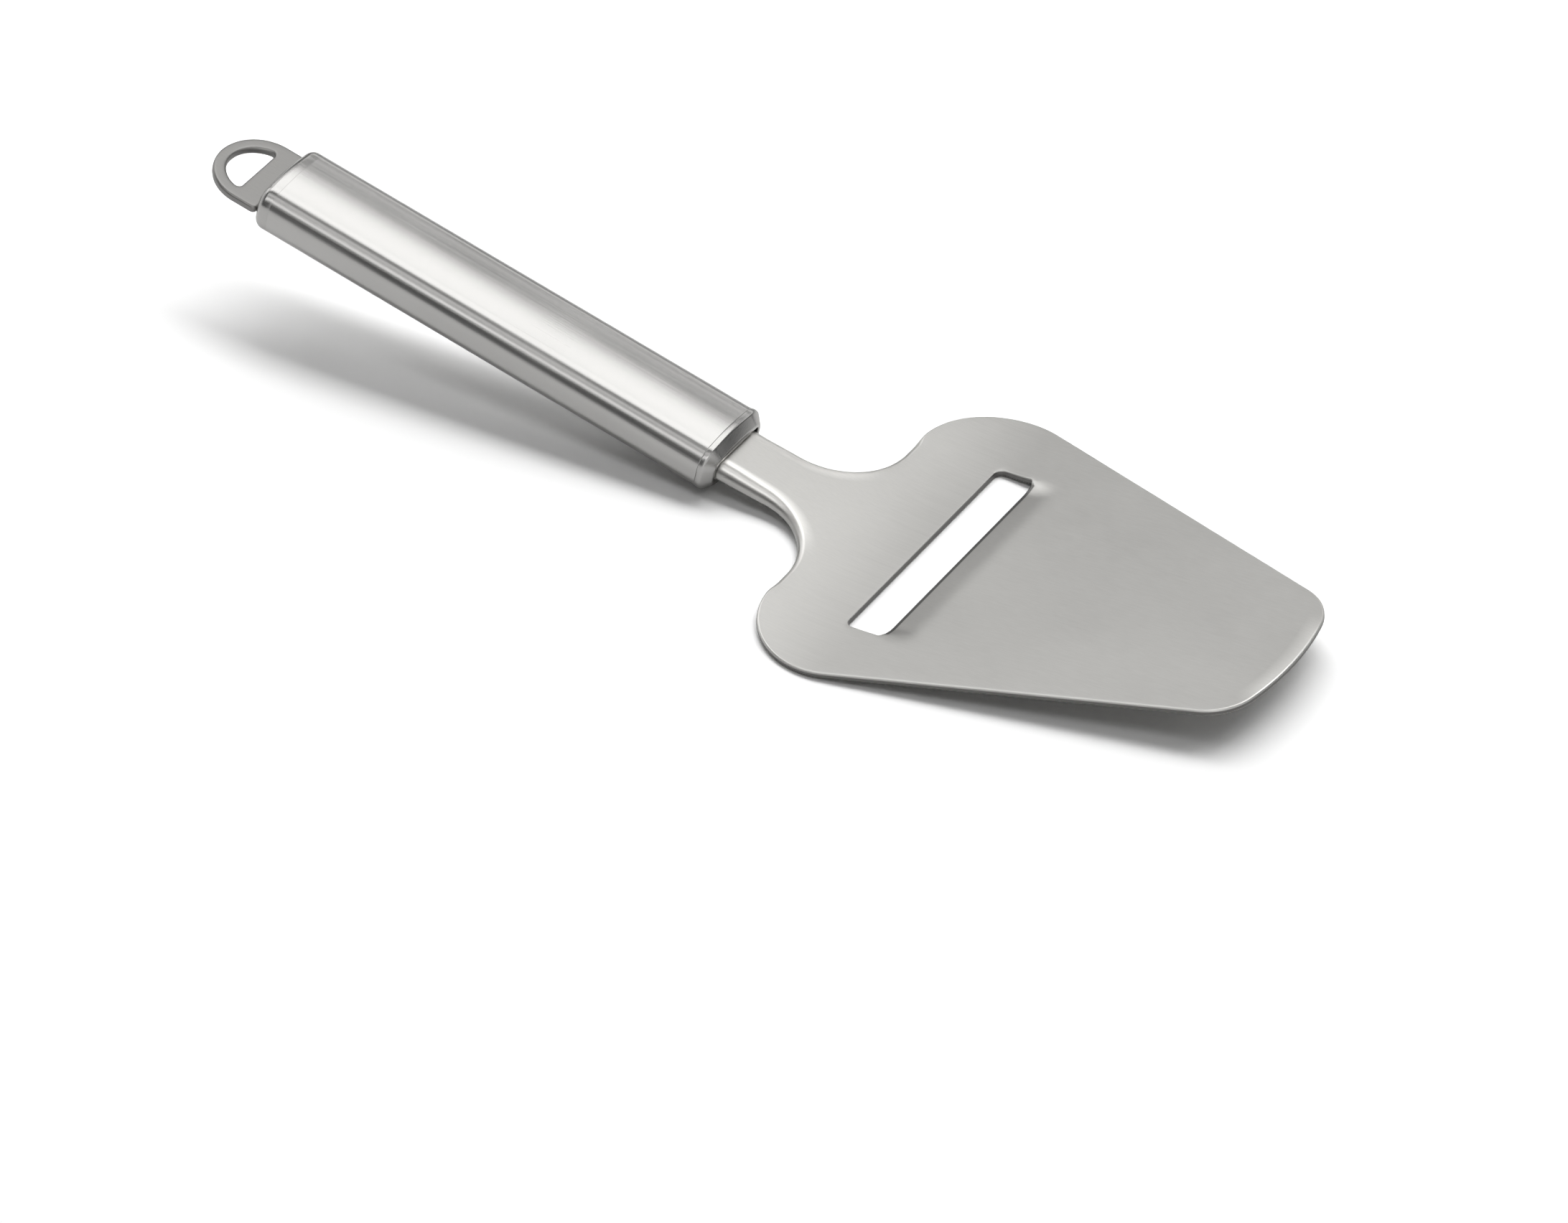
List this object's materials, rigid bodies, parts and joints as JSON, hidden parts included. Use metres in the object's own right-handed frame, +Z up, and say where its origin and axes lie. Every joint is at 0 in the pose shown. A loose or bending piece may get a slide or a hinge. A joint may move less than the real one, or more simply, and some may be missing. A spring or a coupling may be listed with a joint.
{
  "type": "cheese slicer",
  "caption": "One-piece stamped steel blade with a raised cutting slot, on a hollow flat-oval steel handle that ends in a D-shaped hanging loop.",
  "frame": {"origin": "centre of the footprint, on the surface that the slicer rests on", "axes": "+X towards the blade tip, +Y to the left seen from the handle, +Z up"},
  "size_m": [0.2248, 0.08, 0.03],
  "materials": {
    "blade_steel": "fine satin, rolled sheet",
    "handle_steel": "satin, brushed along the handle",
    "cap_steel": "satin with a polished rim",
    "loop_steel": "tumbled, slightly glossy",
    "plug_plastic": "moulded, hidden inside the handle"
  },
  "bodies": {
    "root": {"slicing_blade": "blade_steel", "handle_tube": "handle_steel", "front_cap": "cap_steel", "rear_cap": "cap_steel", "front_tang_plug": "plug_plastic", "rear_tang_plug": "plug_plastic", "hanging_loop": "loop_steel"}
  },
  "joints": []
}
